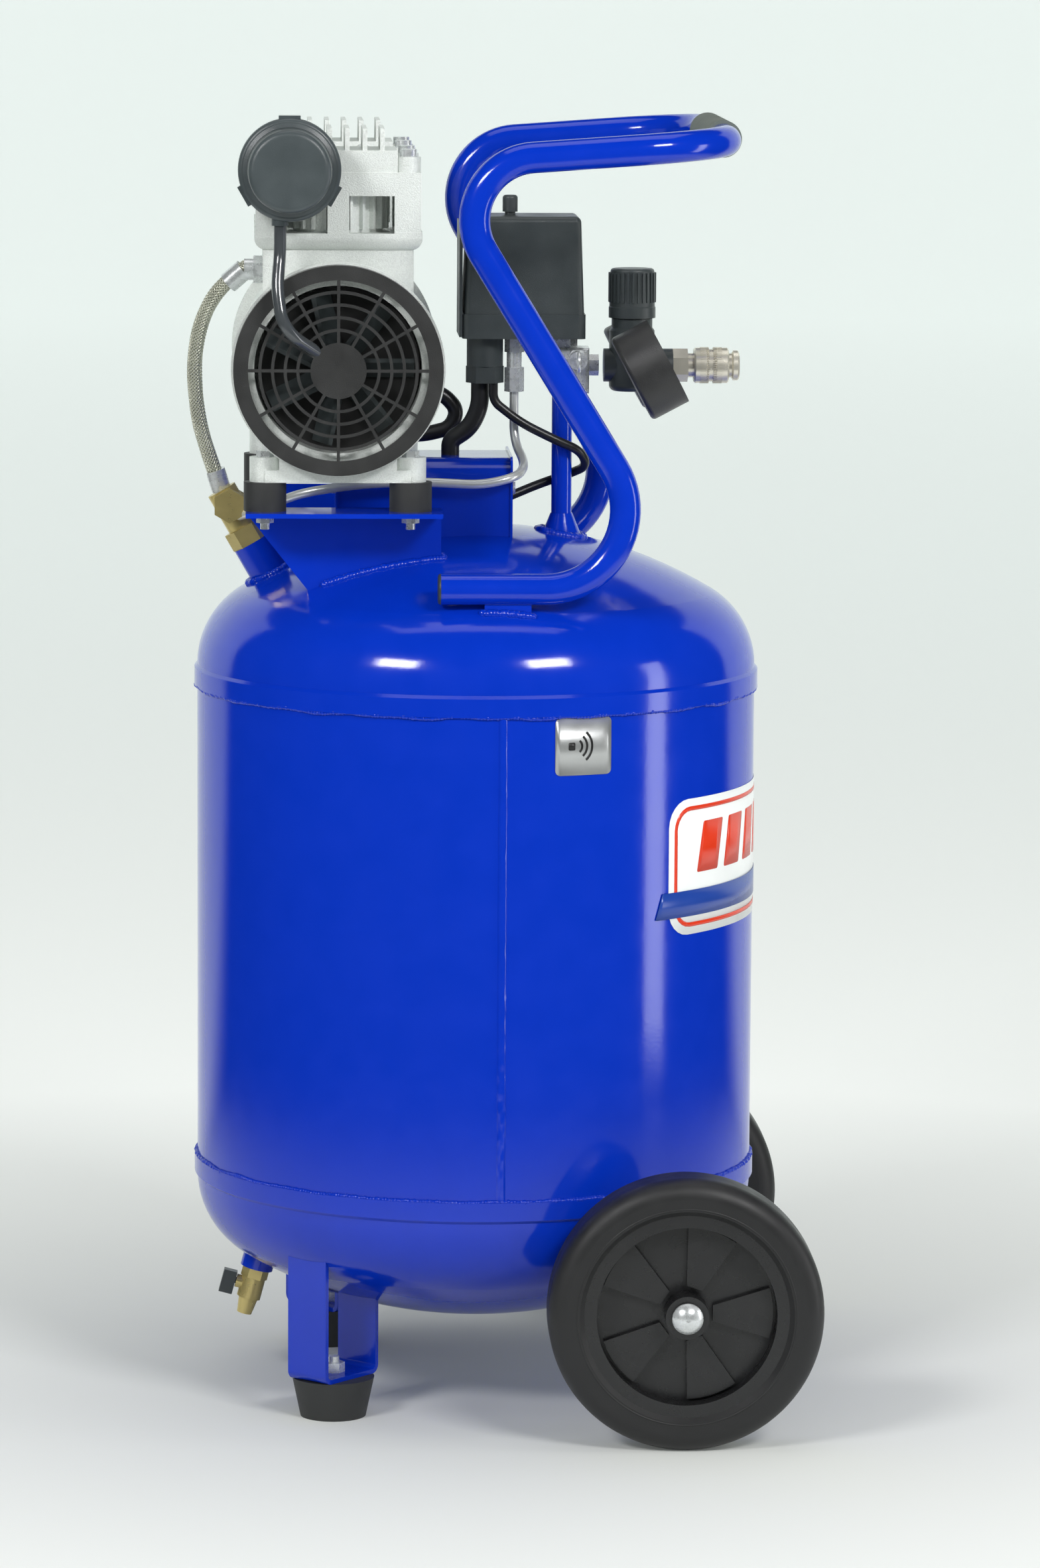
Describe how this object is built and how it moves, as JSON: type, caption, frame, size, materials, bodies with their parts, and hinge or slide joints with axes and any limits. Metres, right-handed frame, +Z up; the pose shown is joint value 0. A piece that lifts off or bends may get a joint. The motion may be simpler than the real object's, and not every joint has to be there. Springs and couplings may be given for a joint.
{
  "type": "air compressor",
  "caption": "Upright air compressor: blue steel tank on two wheels and rubber feet, oil-free twin-head pump on top, pressure switch, regulator, gauges and a push handle.",
  "frame": {"origin": "centre of the footprint on the floor, under the middle of the overall width and depth", "axes": "+Z up along the tank, +X to the gauge and wheel side, +Y across to the second wheel"},
  "size_m": [0.4128, 0.468, 0.851],
  "materials": {
    "blue_paint": "glossy powder coat",
    "satin_black": "satin, lightly textured",
    "cast_aluminium": "sand cast, matt",
    "drawn_aluminium": "satin drawn tube",
    "zinc_steel": "bright zinc plate",
    "bearing_steel": "ground",
    "motor_core": "stacked sheet steel",
    "steel_braid": "woven wire",
    "nickel": "nickel plate",
    "yellow_brass": "cast and turned",
    "tyre_rubber": "moulded",
    "mount_rubber": "moulded, matt",
    "grip_rubber": "soft sleeve",
    "hub_plastic": "moulded",
    "black_plastic": "fine texture",
    "cable_sheath": "smooth sheath",
    "hose_plastic": "clear dark hose",
    "pale_plastic": "capacitor can",
    "red_plastic": "moulded",
    "gauge_black": "satin",
    "dial_white": "matt",
    "needle_red": "matt",
    "gauge_lens": "clear"
  },
  "bodies": {
    "tank": {"air_filter": "black_plastic", "aluminium_tubes": "drawn_aluminium", "bottom_head": "blue_paint", "braided_hose": "steel_braid", "cable_glands": "black_plastic", "capacitor_cable": "cable_sheath", "capacitor_cover": "satin_black", "capacitors": "pale_plastic", "check_valve": "yellow_brass", "coupler_body": "nickel", "crankcases": "cast_aluminium", "cylinder_heads": "cast_aluminium", "cylinder_liners": "cast_aluminium", "drain_valve": "yellow_brass", "fan_covers": "satin_black", "foot_brackets": "blue_paint", "foot_pads": "mount_rubber", "gauge_cases": "gauge_black", "gauge_dials": "dial_white", "gauge_lenses": "gauge_lens", "handle_caps": "black_plastic", "handle_grip": "grip_rubber", "handle_tube": "blue_paint", "intake_hose": "hose_plastic", "manifold": "nickel", "motor_cables": "cable_sheath", "motor_case": "cast_aluminium", "mounting_bolts": "zinc_steel", "pipe_fittings": "zinc_steel", "pump_brackets": "blue_paint", "regulator_body": "black_plastic", "riser_pipe": "zinc_steel", "rubber_mounts": "mount_rubber", "shaft_bearings": "bearing_steel", "small_screws": "zinc_steel", "stator": "motor_core", "switch_base": "black_plastic", "switch_lid": "black_plastic", "tank_shell": "blue_paint", "top_head": "blue_paint", "valve_plates": "cast_aluminium", "weld_bosses": "blue_paint", "wheel_axles": "zinc_steel", "wheel_brackets": "blue_paint"},
    "wheel_near": {"tyre_near": "tyre_rubber", "hub_near": "hub_plastic"},
    "wheel_far": {"tyre_far": "tyre_rubber", "hub_far": "hub_plastic"},
    "rotor": {"motor_rotor": "motor_core", "cooling_fans": "black_plastic"},
    "piston_near": {"piston_near": "cast_aluminium"},
    "piston_far": {"piston_far": "cast_aluminium"},
    "regulator_stem": {"regulator_stem": "bearing_steel"},
    "regulator_knob": {"regulator_knob": "black_plastic"},
    "switch_knob": {"switch_knob": "red_plastic"},
    "needle_near": {"gauge_needle_near": "needle_red"},
    "needle_far": {"gauge_needle_far": "needle_red"},
    "coupler_sleeve": {"coupler_sleeve": "nickel"},
    "drain_handle": {"drain_handle": "yellow_brass"},
    "safety_pull": {"safety_pull": "zinc_steel"}
  },
  "joints": [
    {"name": "wheel_near_spin", "type": "hinge", "parent": "tank", "child": "wheel_near", "pos_m": [0.11395, -0.203, 0.0889], "axis": [0, 1, 0], "continuous": true},
    {"name": "wheel_far_spin", "type": "hinge", "parent": "tank", "child": "wheel_far", "pos_m": [0.11395, 0.203, 0.0889], "axis": [0, 1, 0], "continuous": true},
    {"name": "motor_spin", "type": "hinge", "parent": "tank", "child": "rotor", "pos_m": [-0.10935, 0, 0.688], "axis": [0, 1, 0], "continuous": true},
    {"name": "piston_near_slide", "type": "slide", "parent": "tank", "child": "piston_near", "axis": [0, 0, 1], "range_m": [0, 0.013]},
    {"name": "piston_far_slide", "type": "slide", "parent": "tank", "child": "piston_far", "axis": [0, 0, 1], "range_m": [-0.013, 0]},
    {"name": "regulator_turn", "type": "hinge", "parent": "tank", "child": "regulator_stem", "pos_m": [0.08615, 0, 0.714], "axis": [0, 0, 1], "range_deg": [0, 900]},
    {"name": "regulator_lift", "type": "slide", "parent": "regulator_stem", "child": "regulator_knob", "axis": [0, 0, 1], "range_m": [0, 0.004]},
    {"name": "switch_pull", "type": "slide", "parent": "tank", "child": "switch_knob", "axis": [0, 0, 1], "range_m": [0, 0.006]},
    {"name": "needle_near_turn", "type": "hinge", "parent": "tank", "child": "needle_near", "pos_m": [0.09515, -0.047, 0.683], "axis": [0.8829, 0, 0.4695], "range_deg": [-270, 0]},
    {"name": "needle_far_turn", "type": "hinge", "parent": "tank", "child": "needle_far", "pos_m": [0.09515, 0.047, 0.683], "axis": [0.8829, 0, 0.4695], "range_deg": [-270, 0]},
    {"name": "coupler_sleeve_slide", "type": "slide", "parent": "tank", "child": "coupler_sleeve", "axis": [-1, 0, 0], "range_m": [0, 0.0035], "stiffness_N_per_m": 800},
    {"name": "drain_turn", "type": "hinge", "parent": "tank", "child": "drain_handle", "pos_m": [-0.16454, 0, 0.06375], "axis": [-0.9659, 0, 0.2588], "range_deg": [0, 90]},
    {"name": "safety_pull_slide", "type": "slide", "parent": "tank", "child": "safety_pull", "axis": [0, -1, 0], "range_m": [0, 0.003], "stiffness_N_per_m": 900}
  ]
}
